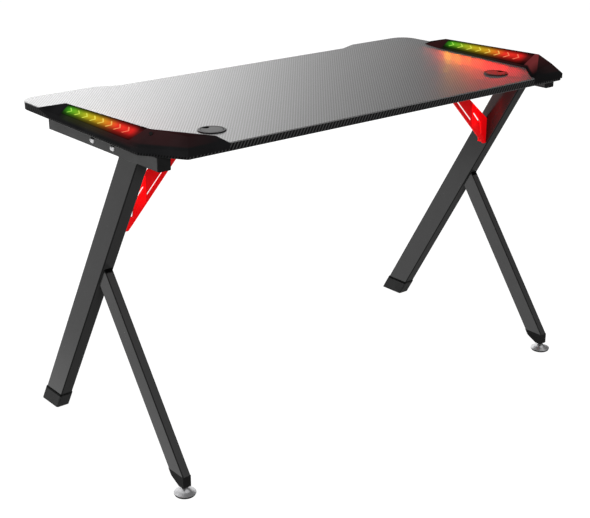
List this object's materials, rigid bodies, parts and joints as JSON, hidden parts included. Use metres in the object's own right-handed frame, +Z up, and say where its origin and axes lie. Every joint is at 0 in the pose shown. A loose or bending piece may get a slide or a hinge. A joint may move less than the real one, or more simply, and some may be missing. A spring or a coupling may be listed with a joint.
{
  "type": "gaming desk",
  "caption": "Gaming desk with a recessed carbon-look top, lit faceted wing covers, cable grommets, slanted tube legs with red braces and screw levelling feet.",
  "frame": {"origin": "on the floor, under the middle of the desk's overall box", "axes": "+Z up; +X along the desk to the user's right; -Y towards the user, who sits at the recessed edge; +Y is the rear edge with the cable grommets"},
  "size_m": [1.225, 0.6205, 0.783],
  "materials": {
    "carbon_laminate": "glossy carbon-look laminate on particle board",
    "cover_plastic": "gloss black moulding",
    "smoked_lens": "smoked, lit from below",
    "circuit_board": "white strip with light chips",
    "black_plastic": "fine-textured black moulding",
    "powder_coat": "semi-gloss black powder coat",
    "red_coat": "gloss red powder coat",
    "chrome_steel": "polished",
    "zinc_steel": "bright zinc plate",
    "glide_rubber": "matt"
  },
  "bodies": {
    "desk": {"desktop": "carbon_laminate", "button_switch": "black_plastic", "cross_beam": "powder_coat", "beam_bolts": "zinc_steel", "beam_nuts": "zinc_steel", "desktop_screws": "zinc_steel", "brace_leg_screws": "zinc_steel", "brace_beam_screws": "zinc_steel", "wing_screws": "zinc_steel", "wing_cover_right": "cover_plastic", "wing_cover_left": "cover_plastic", "light_lens_right": "smoked_lens", "light_lens_left": "smoked_lens", "light_strip_right": "circuit_board", "light_strip_left": "circuit_board", "light_socket_right": "black_plastic", "light_socket_left": "black_plastic", "grommet_liner_right": "black_plastic", "grommet_liner_left": "black_plastic", "side_rail_right": "powder_coat", "side_rail_left": "powder_coat", "rail_plug_front_right": "black_plastic", "rail_plug_front_left": "black_plastic", "rail_plug_rear_right": "black_plastic", "rail_plug_rear_left": "black_plastic", "leg_right": "powder_coat", "leg_left": "powder_coat", "leg_boot_right": "black_plastic", "leg_boot_left": "black_plastic", "strut_right": "powder_coat", "strut_left": "powder_coat", "strut_plug_right": "black_plastic", "strut_plug_left": "black_plastic", "foot_insert_right": "zinc_steel", "foot_insert_left": "zinc_steel", "beam_plate_right": "powder_coat", "beam_plate_left": "powder_coat", "brace_right": "red_coat", "brace_left": "red_coat"},
    "grommet_cap_right": {"grommet_cap_right": "black_plastic"},
    "grommet_cap_left": {"grommet_cap_left": "black_plastic"},
    "light_button": {"light_button": "black_plastic"},
    "foot_glide_right": {"foot_glide_right": "glide_rubber"},
    "foot_glide_left": {"foot_glide_left": "glide_rubber"},
    "foot_screw_right": {"foot_bell_right": "chrome_steel", "foot_stud_right": "zinc_steel"},
    "foot_screw_left": {"foot_bell_left": "chrome_steel", "foot_stud_left": "zinc_steel"}
  },
  "joints": [
    {"name": "grommet_cap_right_turn", "type": "hinge", "parent": "desk", "child": "grommet_cap_right", "pos_m": [0.425, 0.20825, 0.754], "axis": [0, 0, 1], "continuous": true},
    {"name": "foot_right_height", "type": "slide", "parent": "desk", "child": "foot_glide_right", "axis": [0, 0, -1], "range_m": [0, 0.01]},
    {"name": "foot_right_screw", "type": "hinge", "parent": "foot_glide_right", "child": "foot_screw_right", "pos_m": [0.5736, 0.28625, 0.01], "axis": [0, 0, -1], "range_deg": [0, 2881]},
    {"name": "grommet_cap_left_turn", "type": "hinge", "parent": "desk", "child": "grommet_cap_left", "pos_m": [-0.425, 0.20825, 0.754], "axis": [0, 0, 1], "continuous": true},
    {"name": "foot_left_height", "type": "slide", "parent": "desk", "child": "foot_glide_left", "axis": [0, 0, -1], "range_m": [0, 0.01]},
    {"name": "foot_left_screw", "type": "hinge", "parent": "foot_glide_left", "child": "foot_screw_left", "pos_m": [-0.5736, 0.28625, 0.01], "axis": [0, 0, -1], "range_deg": [0, 2881]},
    {"name": "light_button_press", "type": "slide", "parent": "desk", "child": "light_button", "axis": [-0.5525, -0.356, -0.7537], "range_m": [0, 0.0012], "stiffness_N_per_m": 800}
  ],
  "couplings": [
    {"joint": "foot_right_screw", "follows": "foot_right_height", "rad_per_m": 5026.5},
    {"joint": "foot_left_screw", "follows": "foot_left_height", "rad_per_m": 5026.5}
  ]
}
